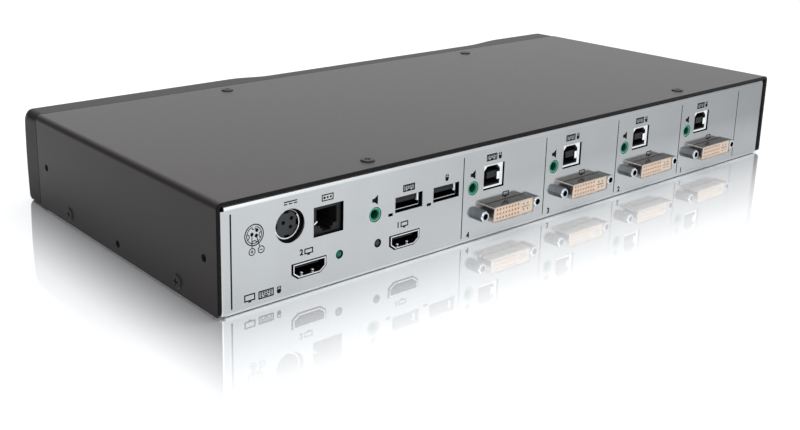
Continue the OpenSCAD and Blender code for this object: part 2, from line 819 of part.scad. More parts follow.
// ---- audio jacks
module audio_jack(x) {
    color("#1f9a6b") translate([x, 0, audio_z]) difference() {
        union() {
            block([-3.2, 64, upper_top - audio_z], [3.2, board_rear_y, 3]);
            rod_y(0, board_rear_y, audio_front_y, 0, audio_collar_r);
        }
        rod_y(0, 66, panel_y + 1, 0, audio_bore_d / 2);
        // funnel at the mouth
        translate([0, audio_front_y - audio_funnel, 0]) rotate([-90, 0, 0])
            cylinder(h = audio_funnel, r1 = audio_bore_d / 2, r2 = audio_lip_r);
        // slots for the contacts beside the bore
        for (s = [-1, 1]) block([s * 2.6 - 0.25, 65, -0.8], [s * 2.6 + 0.25, 75, 0.8]);
    }
}

// ---- contacts of the power, remote control and audio sockets
module socket_contacts() {
    audio_x = concat([console_audio_x], [for (port = port_numbers) port_x(port) - audio_offset]);
    color("#c9a24a") {
        power_pins() difference() {
            rod_y(0, 66, 75.5, 0, 0.8);
            rod_y(0, 70, 76, 0, 0.5);
        }
        for (i = [0 : 5])
            translate([remote_x + (i - 2.5) * 1.27, 0, remote_z + 4.3])
                along_x(-0.2, 0.2) polygon([[64.5, 0], [64.5, -1.6], [64.9, -1.6], [75, -0.4], [75, 0]]);
        for (x = audio_x, s = [-1, 1])
            translate([x, 0, audio_z])
                block([s * 2.6 - 0.2, 66, -0.7], [s * 2.6 + 0.2, 74, 0.7]);
    }
}

base_tray();
top_cover();
cover_screws();
front_bezel();
channel_button(0);  // channel_button_1
channel_button(1);  // channel_button_2
channel_button(2);  // channel_button_3
channel_button(3);  // channel_button_4
switch_plunger(0);  // switch_plunger_1
switch_plunger(1);  // switch_plunger_2
switch_plunger(2);  // switch_plunger_3
switch_plunger(3);  // switch_plunger_4
button_board();
tact_switches();
light_pipes();
status_leds();
idle_led();
ribbon_cable();
ribbon_sockets();
lower_board();
upper_board();
tray_standoffs();
board_spacers();
board_screws();
board_link();
chips();
heat_sink();
capacitors();
power_coil();
power_jack_housing();
power_jack_shield();
power_jack_core();
remote_jack();
hdmi_shell(hdmi_x[0]);  // hdmi_shell_1
hdmi_shell(hdmi_x[1]);  // hdmi_shell_2
hdmi_tongues();
usb_a_shell(usb_a_x[0]);  // usb_a_shell_1
usb_a_shell(usb_a_x[1]);  // usb_a_shell_2
usb_a_tongues();
usb_b_shell(1);  // usb_b_shell_1
usb_b_shell(2);  // usb_b_shell_2
usb_b_shell(3);  // usb_b_shell_3
usb_b_shell(4);  // usb_b_shell_4
usb_b_cores();
dvi_shell(1);  // dvi_shell_1
dvi_shell(2);  // dvi_shell_2
dvi_shell(3);  // dvi_shell_3
dvi_shell(4);  // dvi_shell_4
dvi_core(1);  // dvi_core_1
dvi_core(2);  // dvi_core_2
dvi_core(3);  // dvi_core_3
dvi_core(4);  // dvi_core_4
dvi_jackscrews();
audio_jack(console_audio_x);  // console_audio_jack
audio_jack(port_x(1) - audio_offset);  // audio_jack_1
audio_jack(port_x(2) - audio_offset);  // audio_jack_2
audio_jack(port_x(3) - audio_offset);  // audio_jack_3
audio_jack(port_x(4) - audio_offset);  // audio_jack_4
socket_contacts();
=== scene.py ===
import json
import math
import bmesh
import bpy
from mathutils import Matrix, Quaternion, Vector


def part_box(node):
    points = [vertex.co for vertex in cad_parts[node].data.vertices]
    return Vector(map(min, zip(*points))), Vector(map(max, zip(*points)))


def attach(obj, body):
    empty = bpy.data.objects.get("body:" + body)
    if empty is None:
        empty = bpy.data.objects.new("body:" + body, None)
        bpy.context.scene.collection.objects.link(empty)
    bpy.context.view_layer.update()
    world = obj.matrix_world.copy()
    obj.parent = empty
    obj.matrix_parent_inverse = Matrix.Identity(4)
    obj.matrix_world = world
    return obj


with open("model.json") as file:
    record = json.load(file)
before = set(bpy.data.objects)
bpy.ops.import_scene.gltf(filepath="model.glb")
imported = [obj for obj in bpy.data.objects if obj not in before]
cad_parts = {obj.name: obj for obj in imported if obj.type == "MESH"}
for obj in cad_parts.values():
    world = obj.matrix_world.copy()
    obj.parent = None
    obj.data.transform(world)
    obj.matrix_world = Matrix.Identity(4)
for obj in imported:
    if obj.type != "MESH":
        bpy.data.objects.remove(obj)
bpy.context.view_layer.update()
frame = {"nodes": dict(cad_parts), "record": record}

nodes = frame["nodes"]

MM = 0.001
INK_HIGH = 0.03 * MM
CASE = "case"
PORTS = (1, 2, 3, 4)

# ---------------------------------------------------------------- camera
CAMERA_AT = Vector((0.3616, 0.3760, 0.1655))
CAMERA_LOOK = Vector((-0.61824, -0.74043, -0.26371))
CAMERA_ROLL = math.radians(0.98)
CAMERA_LENS = 47.64
CAMERA_SHIFT = (0.049375, -0.105625)


def make_camera():
    data = bpy.data.cameras.new("camera")
    data.sensor_width = 36
    data.lens = CAMERA_LENS
    data.shift_x, data.shift_y = CAMERA_SHIFT
    camera = bpy.data.objects.new("camera", data)
    camera.location = CAMERA_AT
    camera.rotation_mode = "QUATERNION"
    aim = CAMERA_LOOK.to_track_quat("-Z", "Y")
    camera.rotation_quaternion = aim @ Quaternion((0, 0, 1), CAMERA_ROLL)
    bpy.context.scene.collection.objects.link(camera)
    bpy.context.scene.camera = camera


make_camera()


# ---------------------------------------------------------------- materials
def new_material(name):
    material = bpy.data.materials.new(name)
    material.use_nodes = True
    tree = material.node_tree
    return material, tree, tree.nodes["Principled BSDF"]


def object_coords(tree, scale):
    coords = tree.nodes.new("ShaderNodeTexCoord")
    mapping = tree.nodes.new("ShaderNodeMapping")
    mapping.inputs["Scale"].default_value = scale
    tree.links.new(coords.outputs["Object"], mapping.inputs["Vector"])
    return mapping.outputs["Vector"]


def noise(tree, vector, scale, detail=3.0):
    node = tree.nodes.new("ShaderNodeTexNoise")
    node.inputs["Scale"].default_value = scale
    node.inputs["Detail"].default_value = detail
    tree.links.new(vector, node.inputs["Vector"])
    return node.outputs["Fac"]


def ramp(tree, value, stops):
    node = tree.nodes.new("ShaderNodeValToRGB")
    elements = node.color_ramp.elements
    while len(elements) < len(stops):
        elements.new(0.5)
    for element, (place, colour) in zip(elements, stops):
        element.position = place
        element.color = (*colour, 1)
    tree.links.new(value, node.inputs["Fac"])
    return node.outputs["Color"]


def grey_ramp(tree, value, stops):
    """A ramp of plain greys, each stop a place and a tone."""
    return ramp(tree, value, [(place, (tone,) * 3) for place, tone in stops])


def spread(tree, value, low, high):
    """A value of 0 to 1 stretched to the range from low to high."""
    node = tree.nodes.new("ShaderNodeMapRange")
    node.inputs["To Min"].default_value = low
    node.inputs["To Max"].default_value = high
    tree.links.new(value, node.inputs["Value"])
    return node.outputs["Result"]


def fraction(tree, value, low, high):
    """How far value has gone from low to high, held between 0 and 1."""
    node = tree.nodes.new("ShaderNodeMapRange")
    node.inputs["From Min"].default_value = low
    node.inputs["From Max"].default_value = high
    tree.links.new(value, node.inputs["Value"])
    return node.outputs["Result"]


def bump(tree, shader, height, distance):
    node = tree.nodes.new("ShaderNodeBump")
    node.inputs["Strength"].default_value = 1.0
    node.inputs["Distance"].default_value = distance
    tree.links.new(height, node.inputs["Height"])
    tree.links.new(node.outputs["Normal"], shader.inputs["Normal"])


def shade(colour, factor):
    return tuple(min(1.0, c * factor) for c in colour)


def mottled(name, colour, vary, scale, rough, grain, metallic=0.0, stretch=(1, 1, 1), coat=0.0,
            gloss=0.5):
    """A finish whose colour and roughness drift a little over its surface, with a fine bumpy grain.

    vary is the share by which the colour drifts, scale how closely it drifts, rough the lowest and
    highest roughness, and grain the (scale, height in metres) of the bump."""
    material, tree, shader = new_material(name)
    vector = object_coords(tree, stretch)
    drift = noise(tree, vector, scale)
    stops = [(0.3, shade(colour, 1 - vary)), (0.7, shade(colour, 1 + vary))]
    tree.links.new(ramp(tree, drift, stops), shader.inputs["Base Color"])
    tree.links.new(spread(tree, drift, *rough), shader.inputs["Roughness"])
    shader.inputs["Metallic"].default_value = metallic
    shader.inputs["Coat Weight"].default_value = coat
    shader.inputs["Specular IOR Level"].default_value = gloss
    grain_scale, grain_height = grain
    bump(tree, shader, noise(tree, vector, grain_scale, 2.0), grain_height)
    return material


def maths(tree, operation, first, second=None):
    """A maths node of one or two values, each a number or another node's output."""
    node = tree.nodes.new("ShaderNodeMath")
    node.operation = operation
    for socket, value in zip(node.inputs, (first, second)):
        if value is None:
            continue
        if isinstance(value, (int, float)):
            socket.default_value = value
        else:
            tree.links.new(value, socket)
    return node.outputs[0]


def multiply_colour(material, factor):
    """Multiplies a finish's colour by a node's output."""
    tree = material.node_tree
    shader = tree.nodes["Principled BSDF"]
    colour = shader.inputs["Base Color"].links[0].from_socket
    mix = tree.nodes.new("ShaderNodeVectorMath")
    mix.operation = "MULTIPLY"
    tree.links.new(colour, mix.inputs[0])
    tree.links.new(factor, mix.inputs[1])
    tree.links.new(mix.outputs["Vector"], shader.inputs["Base Color"])


def place_in_part(tree):
    """A point's x, y and z in its object's own frame, in metres."""
    coords = tree.nodes.new("ShaderNodeTexCoord")
    parts = tree.nodes.new("ShaderNodeSeparateXYZ")
    tree.links.new(coords.outputs["Object"], parts.inputs[0])
    return parts


def darken_cut_edges(material):
    """Paints shade into the cut edges of the holes in the rear panel, but not into its bends."""
    tree = material.node_tree
    parts = place_in_part(tree)
    behind = maths(tree, "LESS_THAN", parts.outputs["Y"], PANEL_SKIN * MM)
    below = maths(tree, "LESS_THAN", parts.outputs["Z"], HOLES_HIGH * MM)
    above = maths(tree, "GREATER_THAN", parts.outputs["Z"], HOLES_LOW * MM)
    between = maths(tree, "LESS_THAN", maths(tree, "ABSOLUTE", parts.outputs["X"]), HOLES_OUT * MM)
    inside = maths(tree, "MULTIPLY", maths(tree, "MULTIPLY", behind, below),
                   maths(tree, "MULTIPLY", above, between))
    left = maths(tree, "SUBTRACT", 1.0, maths(tree, "MULTIPLY", inside, CUT_EDGE_PAINTED_SHADE))
    multiply_colour(material, grey_ramp(tree, left, ((0.0, 0.0), (1.0, 1.0))))


def tone_panel(material):
    """Paints light and shade into the rear panel's colour: lighter low down, darker high up and far
    from +X.

    The bend at the bottom gets painted light, and the one at the top a painted highlight."""
    tree = material.node_tree
    parts = place_in_part(tree)
    across = fraction(tree, parts.outputs["X"], -PANEL_REACH, PANEL_REACH)
    high = grey_ramp(tree, across, PANEL_PAINTED_LIGHT_HIGH)
    low = grey_ramp(tree, across, PANEL_PAINTED_LIGHT_LOW)
    up = fraction(tree, parts.outputs["Z"], 3 * MM, 25 * MM)
    blend = tree.nodes.new("ShaderNodeMix")
    blend.data_type = "FLOAT"
    tree.links.new(up, blend.inputs[0])
    tree.links.new(low, blend.inputs[2])
    tree.links.new(high, blend.inputs[3])
    bend = fraction(tree, parts.outputs["Z"], 1.6 * MM, 0.4 * MM)
    crest = fraction(tree, parts.outputs["Z"], 40.2 * MM, 41.0 * MM)
    gleam = grey_ramp(tree, across, PANEL_PAINTED_HIGHLIGHT)
    # edge is the painted light on the lower bend plus the painted highlight on the top bend.
    edge = maths(tree, "ADD", maths(tree, "MULTIPLY", bend, BEND_PAINTED_LIGHT),
                 maths(tree, "MULTIPLY", crest, gleam))
    edge = maths(tree, "ADD", edge, 1.0)
    multiply_colour(material, maths(tree, "MULTIPLY", blend.outputs[0], edge))


def deepen(material, dark, bright, share, steps=((0.0, 0.0), (1.0, 1.0)), axis="Y", gloss=False):
    """Paints shade into a finish's colour along an object axis, from share at dark to 1 at bright.

    dark and bright are places in millimetres, on either side of the middle for an axis given as
    "|X". steps are the (place, level) of the change between them. gloss dims the highlights too."""
    tree = material.node_tree
    shader = tree.nodes["Principled BSDF"]
    parts = place_in_part(tree)
    along = parts.outputs[axis[-1]]
    if axis.startswith("|"):
        along = maths(tree, "ABSOLUTE", along)
    place = fraction(tree, along, dark * MM, bright * MM)
    fade = grey_ramp(tree, place, [(at, share + (1 - share) * level) for at, level in steps])
    multiply_colour(material, fade)
    if gloss:
        level = shader.inputs["Specular IOR Level"]
        now = level.links[0].from_socket if level.links else level.default_value
        tree.links.new(maths(tree, "MULTIPLY", fade, now), level)


FINISHES = {
    "tray_steel": dict(
        colour=(0.56, 0.577, 0.582), vary=0.03, scale=60, rough=(0.12, 0.18),
        metallic=0.95, grain=(2500, 0.000002), stretch=(1, 1, 0.35)),
    "cover_paint": dict(
        colour=(0.027, 0.0215, 0.0215), vary=0.06, scale=900, rough=(0.33, 0.40),
        grain=(1800, 0.00002), gloss=0.3),
    "black_screws": dict(
        colour=(0.020, 0.019, 0.019), vary=0.15, scale=700, rough=(0.34, 0.42),
        grain=(3000, 0.000006), gloss=0.22),
    "bezel_plastic": dict(
        colour=(0.0105, 0.0095, 0.0095), vary=0.08, scale=500, rough=(0.36, 0.44),
        grain=(2200, 0.000015), gloss=0.13),
    "button_plastic": dict(
        colour=(0.20, 0.205, 0.21), vary=0.05, scale=600, rough=(0.35, 0.45),
        grain=(2500, 0.00001)),
    "black_plastic": dict(
        colour=(0.009, 0.009, 0.010), vary=0.2, scale=700, rough=(0.32, 0.48),
        grain=(2500, 0.00001), gloss=0.25),
    "circuit_board": dict(
        colour=(0.015, 0.13, 0.05), vary=0.25, scale=220, rough=(0.25, 0.4),
        grain=(900, 0.00003)),
    "clear_plastic": dict(
        colour=(0.75, 0.82, 0.78), vary=0.04, scale=400, rough=(0.12, 0.2),
        grain=(900, 0.000004), coat=0.3),
    "green_led": dict(
        colour=(0.008, 0.125, 0.085), vary=0.35, scale=900, rough=(0.2, 0.35),
        grain=(1500, 0.00001), gloss=0.2),
    "dark_led": dict(
        colour=(0.022, 0.030, 0.030), vary=0.35, scale=900, rough=(0.2, 0.35),
        grain=(1500, 0.00001), gloss=0.3),
    "ribbon_grey": dict(
        colour=(0.35, 0.35, 0.37), vary=0.08, scale=500, rough=(0.4, 0.55),
        grain=(1200, 0.00003), stretch=(8, 0.2, 0.2)),
    "cream_plastic": dict(
        colour=(0.72, 0.70, 0.63), vary=0.05, scale=500, rough=(0.4, 0.5),
        grain=(2000, 0.00001)),
    "plated_steel": dict(
        colour=(0.74, 0.75, 0.77), vary=0.08, scale=500, rough=(0.12, 0.26),
        metallic=1.0, grain=(1600, 0.00001)),
    "dvi_steel": dict(
        colour=(0.42, 0.375, 0.35), vary=0.34, scale=380, rough=(0.14, 0.32),
        metallic=1.0, grain=(1400, 0.00003)),
    "jackscrew_steel": dict(
        colour=(0.56, 0.60, 0.64), vary=0.12, scale=500, rough=(0.16, 0.28),
        metallic=1.0, grain=(1600, 0.00001)),
    "brass_parts": dict(
        colour=(0.65, 0.50, 0.20), vary=0.1, scale=500, rough=(0.2, 0.35),
        metallic=1.0, grain=(1800, 0.00001)),
    "chip_epoxy": dict(
        colour=(0.018, 0.018, 0.020), vary=0.15, scale=800, rough=(0.5, 0.65),
        grain=(3000, 0.00002)),
    "heat_sink_aluminium": dict(
        colour=(0.5, 0.52, 0.54), vary=0.08, scale=600, rough=(0.35, 0.5),
        metallic=1.0, grain=(2500, 0.00002)),
    "capacitor_sleeve": dict(
        colour=(0.02, 0.03, 0.11), vary=0.12, scale=500, rough=(0.2, 0.35),
        grain=(900, 0.00001)),
    "coil_core": dict(
        colour=(0.06, 0.045, 0.03), vary=0.2, scale=900, rough=(0.5, 0.7),
        grain=(1500, 0.00004)),
    "dark_insulator": dict(
        colour=(0.013, 0.017, 0.019), vary=0.12, scale=700, rough=(0.35, 0.45),
        grain=(2500, 0.00001)),
    "gold_contacts": dict(
        colour=(0.78, 0.52, 0.22), vary=0.1, scale=900, rough=(0.18, 0.32),
        metallic=1.0, grain=(2500, 0.000005)),
    "dvi_insulator": dict(
        colour=(0.66, 0.545, 0.435), vary=0.05, scale=400, rough=(0.38, 0.5),
        grain=(2000, 0.00001)),
    "green_plastic": dict(
        colour=(0.015, 0.50, 0.27), vary=0.1, scale=700, rough=(0.2, 0.32),
        grain=(1500, 0.00001), coat=0.3),
    "copper_pins": dict(
        colour=(0.46, 0.12, 0.035), vary=0.25, scale=900, rough=(0.4, 0.55),
        grain=(2500, 0.000005)),
    # Painted highlight: a near-white finish for the glints on springs and on the power socket's rim.
    "spring_glint": dict(
        colour=(0.97, 0.97, 0.98), vary=0.05, scale=700, rough=(0.3, 0.45),
        metallic=0.2, grain=(2500, 0.000005)),
    "black_ink": dict(
        colour=(0.003, 0.003, 0.004), vary=0.2, scale=1500, rough=(0.6, 0.75),
        grain=(4000, 0.000004), gloss=0.08),
    "pale_ink": dict(
        colour=(0.72, 0.73, 0.73), vary=0.05, scale=1500, rough=(0.5, 0.65),
        grain=(4000, 0.000004)),
}
MATERIALS = {name: mottled(name, **finish) for name, finish in FINISHES.items()}

# Places on the tray and the cover, in millimetres.
COVER_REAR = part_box("top_cover")[1].y / MM
PANEL_SKIN = 78.92  # just under the panel's outer face
HOLES_LOW, HOLES_HIGH, HOLES_OUT = 3.0, 38.5, 171  # all the holes lie between these
# Painted shade in the holes:
CUT_EDGE_PAINTED_SHADE = 0.92  # the share of its brightness that a hole's cut edge loses

# Painted light of the rear panel from -X to +X, each a (place, tone): high up, low down, and the
# painted highlight on the top bend.
PANEL_REACH = 0.18  # metres on either side of the middle
PANEL_PAINTED_LIGHT_HIGH = ((0.0, 0.46), (0.10, 0.49), (0.20, 0.55), (0.30, 0.61),
              (0.50, 0.67), (0.66, 0.72), (0.80, 0.82), (1.0, 0.88))
PANEL_PAINTED_LIGHT_LOW = ((0.0, 0.72), (0.12, 0.86), (0.22, 0.98), (0.40, 1.0), (0.75, 0.97), (1.0, 0.92))
PANEL_PAINTED_HIGHLIGHT = ((0.0, 0.10), (0.5, 0.22), (0.75, 0.45), (1.0, 0.95))
# Painted light on the lower bend:
BEND_PAINTED_LIGHT = 0.4  # how much lighter the lower bend is

# Painted light and shade over the rear panel, with a painted highlight on its top bend.
tone_panel(MATERIALS["tray_steel"])
# Painted shade on the cut edges of the rear panel's holes.
darken_cut_edges(MATERIALS["tray_steel"])
# Painted shade: the circuit board darkens towards the rear panel, where it shows through the gaps
# round the sockets.
deepen(MATERIALS["circuit_board"], dark=74.0, bright=55.0, share=0.08)
# Painted shade on the gold contacts deep inside the sockets.
deepen(MATERIALS["gold_contacts"], dark=76.0, bright=78.0, share=0.06)
# Painted shade in the bores of the green jacks; only their front rim keeps its full colour.
deepen(MATERIALS["green_plastic"], dark=78.0, bright=79.0, share=0.16,
       steps=((0.0, 0.0), (0.82, 0.0), (0.87, 1.0)))
# Painted shade on the upper part of each DVI shell, darker above z = 15.3 mm.
deepen(MATERIALS["dvi_steel"], dark=15.3, bright=14.9, share=0.34, axis="Z")
# Painted shade on the cover's rear edge, on its colour and its specular level.
deepen(MATERIALS["cover_paint"], dark=COVER_REAR, bright=COVER_REAR - 0.5, share=0.30, gloss=True)
# Painted shade on the cover's side walls, on their colour and their specular level.
deepen(MATERIALS["cover_paint"], dark=178.2, bright=176.6, share=0.72, axis="|X", gloss=True)
# Painted shade on the jackscrews' bodies behind their bright tips.
deepen(MATERIALS["jackscrew_steel"], dark=82.8, bright=83.4, share=0.22)
# Painted shade inside the plated socket shells, from just behind their front rims inwards.
deepen(MATERIALS["plated_steel"], dark=70.0, bright=79.2, share=0.04,
       steps=((0.0, 0.0), (0.55, 0.12), (0.84, 0.6), (0.9, 1.0)))


def dress_nodes():
    """Gives every CAD node the finish of its slot in the record."""
    for row in frame["record"]["subparts"]:
        materials = nodes[row["node"]].data.materials
        finish = MATERIALS[row["material_slot"]]
        if not len(materials):
            materials.append(finish)
        for i in range(len(materials)):
            materials[i] = finish


dress_nodes()


# ---------------------------------------------------------------- stage
FLOOR_REACH = 6.0
FLOOR_GAP = 0.0002
# The floor's polish on X and on Y, in metres: where it starts to fade, and over how far.
POLISH = ((0.178, 0.040), (0.080, 0.066))


def make_stage():
    """A white table that is polished round the case and turns matt further out."""
    reach = FLOOR_REACH
    mesh = bpy.data.meshes.new("floor")
    corners = [(-reach, -reach, 0), (reach, -reach, 0), (reach, reach, 0), (-reach, reach, 0)]
    mesh.from_pydata(corners, [], [(0, 1, 2, 3)])
    floor = bpy.data.objects.new("floor", mesh)
    bpy.context.scene.collection.objects.link(floor)
    floor.location.z = -FLOOR_GAP
    material, tree, shader = new_material("floor_white")
    where = object_coords(tree, (1, 1, 1))
    parts = tree.nodes.new("ShaderNodeSeparateXYZ")
    tree.links.new(where, parts.inputs[0])
    beyond = []
    for axis, (edge, fade) in zip("XY", POLISH):
        out = maths(tree, "SUBTRACT", maths(tree, "ABSOLUTE", parts.outputs[axis]), edge)
        beyond.append(maths(tree, "DIVIDE", out, fade))
    polish = grey_ramp(tree, maths(tree, "MAXIMUM", *beyond),
                       ((0.0, 0.66), (0.35, 0.42), (0.75, 0.12), (1.0, 0.03)))
    tree.links.new(polish, shader.inputs["Metallic"])
    white = ramp(tree, noise(tree, where, 3.0),
                 [(0.0, (0.95, 0.955, 0.96)), (1.0, (0.97, 0.975, 0.98))])
    tree.links.new(white, shader.inputs["Base Color"])
    shader.inputs["Roughness"].default_value = 0.03
    shader.inputs["Specular IOR Level"].default_value = 0.2
    mesh.materials.append(material)


def area_light(name, at, towards, width, height, power):
    data = bpy.data.lights.new(name, "AREA")
    data.shape = "RECTANGLE"
    data.size, data.size_y = width, height
    data.energy = power
    light = bpy.data.objects.new(name, data)
    light.location = at
    light.rotation_mode = "QUATERNION"
    light.rotation_quaternion = (Vector(towards) - Vector(at)).to_track_quat("-Z", "Y")
    bpy.context.scene.collection.objects.link(light)


def agreement(tree, coords, direction):
    """How far a ray's direction agrees with the given one, as a cosine."""
    node = tree.nodes.new("ShaderNodeVectorMath")
    node.operation = "DOT_PRODUCT"
    node.inputs[1].default_value = Vector(direction).normalized()
    tree.links.new(coords.outputs["Generated"], node.inputs[0])
    return node.outputs["Value"]


def make_world():
    """An even white room with a dark side off to +X and -Y and a dimmer one off to -X."""
    world = bpy.data.worlds.new("studio")
    world.use_nodes = True
    tree = world.node_tree
    background = tree.nodes["Background"]
    coords = tree.nodes.new("ShaderNodeTexCoord")
    side = ramp(tree, agreement(tree, coords, (0.80, -0.60, 0.0)),
                [(0.35, (0.97, 0.985, 1.0)), (0.8, (0.16, 0.16, 0.17))])
    dim = ramp(tree, agreement(tree, coords, (-0.95, 0.30, 0.0)),
               [(0.70, (1.0, 1.0, 1.0)), (0.97, (0.88, 0.88, 0.89))])
    both = tree.nodes.new("ShaderNodeVectorMath")
    both.operation = "MULTIPLY"
    tree.links.new(side, both.inputs[0])
    tree.links.new(dim, both.inputs[1])
    tree.links.new(both.outputs["Vector"], background.inputs["Color"])
    background.inputs["Strength"].default_value = 1.08
    bpy.context.scene.world = world


def make_lights():
    make_world()
    area_light("overhead", (0.0, -0.1, 1.5), (0, 0, 0), 1.4, 1.2, 9)
    area_light("beside", (0.55, 0.75, 0.65), (0.15, 0.10, 0), 0.5, 0.5, 1.6)
    bpy.context.scene.view_settings.view_transform = "Standard"


make_stage()
make_lights()


def add_piece(name, mesh, slot, body=CASE):
    """A piece that rides on a body, in a finish. Inks, pins and springs have no slot of their own."""
    piece = bpy.data.objects.new(name, mesh)
    bpy.context.scene.collection.objects.link(piece)
    mesh.materials.append(MATERIALS[slot])
    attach(piece, body)


def prism(bm, outline, y0, y1):
    """Adds a closed prism along Y; outline is a list of (x, z) points that go round once."""
    area = sum(a[0] * b[1] - b[0] * a[1] for a, b in zip(outline, outline[1:] + outline[:1]))
    points = outline if area > 0 else outline[::-1]
    low = [bm.verts.new((x, y0, z)) for x, z in points]
    high = [bm.verts.new((x, y1, z)) for x, z in points]
    bm.faces.new(low)
    bm.faces.new(high[::-1])
    for i in range(len(points)):
        j = (i + 1) % len(points)
        bm.faces.new((low[j], low[i], high[i], high[j]))


def to_mesh(bm, name):
    bmesh.ops.recalc_face_normals(bm, faces=bm.faces)
    mesh = bpy.data.meshes.new(name)
    bm.to_mesh(mesh)
    bm.free()
    return mesh


# ---------------------------------------------------------------- printed symbols
SIZE_PER_HEIGHT = 1.42  # of Blender's own font, whose figures are lower than its size
BOLDNESS = 0.055


class Print:
    """Thin shapes on a face: printed ink, or a gleam in a socket.

    u runs to the right as seen from behind and v up, in millimetres."""

    def __init__(self, face_y):
        self.bm = bmesh.new()
        self.y = face_y

    def shape(self, at, points):
        outline = [((at[0] - u) * MM, (at[1] + v) * MM) for u, v in points]
        prism(self.bm, outline, self.y, self.y + INK_HIGH)

    def bar(self, at, u0, v0, u1, v1):
        self.shape(at, [(u0, v0), (u1, v0), (u1, v1), (u0, v1)])

    def stroke(self, at, start, end, width):
        du, dv = end[0] - start[0], end[1] - start[1]
        length = math.hypot(du, dv)
        nu, nv = -dv / length * width / 2, du / length * width / 2
        self.shape(at, [(start[0] + nu, start[1] + nv), (start[0] - nu, start[1] - nv),
                        (end[0] - nu, end[1] - nv), (end[0] + nu, end[1] + nv)])

    def arc(self, at, radius, width, start=0, end=360):
        """A stroke along a circle, from start to end in degrees."""
        steps = max(3, round(40 * (end - start) / 360))
        for i in range(steps):
            a0 = math.radians(start + (end - start) * i / steps)
            a1 = math.radians(start + (end - start) * (i + 1) / steps)
            inner, outer = radius - width / 2, radius + width / 2
            self.shape(at, [(inner * math.cos(a0), inner * math.sin(a0)),
                            (outer * math.cos(a0), outer * math.sin(a0)),
                            (outer * math.cos(a1), outer * math.sin(a1)),
                            (inner * math.cos(a1), inner * math.sin(a1))])

    def dot(self, at, radius):
        turn = [2 * math.pi * i / 16 for i in range(16)]
        self.shape(at, [(radius * math.cos(a), radius * math.sin(a)) for a in turn])

    def frame_box(self, at, w, h, line):
        self.bar(at, -w / 2, h / 2 - line, w / 2, h / 2)
        self.bar(at, -w / 2, -h / 2, w / 2, line - h / 2)
        self.bar(at, -w / 2, line - h / 2, line - w / 2, h / 2 - line)
        self.bar(at, w / 2 - line, line - h / 2, w / 2, h / 2 - line)

    def keyboard(self, at, w=6.4, h=3.0):
        self.frame_box(at, w, h, 0.5)
        half_wide, half_high = 0.40, 0.24
        for row in (-1, 0, 1):
            v = row * 0.72
            if row == -1:
                self.bar(at, -0.9, v - half_high, 0.9, v + half_high)
                keys = (-2.05, 2.05)
            else:
                keys = [(i - 2) * 1.06 for i in range(5)]
            for u in keys:
                self.bar(at, u - half_wide, v - half_high, u + half_wide, v + half_high)

    def mouse(self, at):
        w, h = 1.9, 3.1
        r = w / 2
        low = [(r * math.cos(a), -h / 2 + r + r * math.sin(a))
               for a in (math.pi + math.pi * i / 12 for i in range(13))]
        self.shape(at, low + [(r, 0.25), (-r, 0.25)])
        for side in (-1, 1):
            arc = [(side * r * math.cos(a), h / 2 - r + r * math.sin(a))
                   for a in (math.pi / 2 * i / 6 for i in range(6))]
            self.shape(at, [(side * 0.22, 0.5), (side * r, 0.5)] + arc + [(side * 0.22, h / 2)])

    def speaker(self, at):
        self.bar(at, -1.45, -0.75, -0.45, 0.75)
        self.shape(at, [(-0.45, -0.75), (1.4, -2.0), (1.4, 2.0), (-0.45, 0.75)])

    def monitor(self, at, w=4.1, h=2.3):
        self.frame_box(at, w, h, 0.5)
        self.shape(at, [(-0.45, -h / 2), (0.45, -h / 2),
                        (0.75, -h / 2 - 0.5), (-0.75, -h / 2 - 0.5)])

    def hand_control(self, at):
        self.frame_box(at, 5.6, 2.7, 0.42)
        self.dot((at[0] + 1.5, at[1]), 0.55)
        for u in (0.0, 1.5):
            self.bar(at, u - 0.4, -0.4, u + 0.4, 0.4)

    def done(self, name, slot="black_ink"):
        add_piece(name, to_mesh(self.bm, name), slot)


def digit(name, text, at, height, face_y, slot, facing=1):
    """A printed figure centred on at, an (x, z) in millimetres.

    facing is +1 for the rear panel and -1 for the front."""
    curve = bpy.data.curves.new(name, "FONT")
    curve.body = text
    curve.align_x, curve.align_y = "CENTER", "CENTER"
    curve.size = height * SIZE_PER_HEIGHT * MM
    curve.extrude = INK_HIGH / 2
    curve.offset = height * BOLDNESS * MM
    curve.resolution_u = 6
    source = bpy.data.objects.new(name, curve)
    bpy.context.scene.collection.objects.link(source)
    bpy.context.view_layer.update()
    mesh = bpy.data.meshes.new_from_object(source)
    bpy.data.objects.remove(source)
    mesh.name = name
    turn = (Matrix.Rotation(math.pi if facing > 0 else 0, 4, "Z")
            @ Matrix.Rotation(math.pi / 2, 4, "X"))
    place = Matrix.Translation((at[0] * MM, face_y + facing * INK_HIGH / 2, at[1] * MM))
    mesh.transform(place @ turn)
    add_piece(name, mesh, slot)


# ---------------------------------------------------------------- places read from the frame
def centre(node):
    low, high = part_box(node)
    return (low + high) / 2


PANEL_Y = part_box("base_tray")[1].y
dvi_x = {port: centre(f"dvi_shell_{port}").x / MM for port in PORTS}
usb_b_x = {port: centre(f"usb_b_shell_{port}").x / MM - 0.3 for port in PORTS}
jack_x = {port: centre(f"audio_jack_{port}").x / MM for port in PORTS}
console_x = centre("console_audio_jack").x / MM
hdmi_x = {i: centre(f"hdmi_shell_{i}").x / MM for i in (1, 2)}
usb_a_x = {i: centre(f"usb_a_shell_{i}").x / MM for i in (1, 2)}
power_x = centre("power_jack_shield").x / MM
power_z = centre("power_jack_shield").z / MM
remote_x = centre("remote_jack").x / MM
PITCH = (jack_x[4] - jack_x[1]) / 3
LINE_X = {port: jack_x[port] + 6.06 for port in PORTS}
END_LINE_X = 172.35


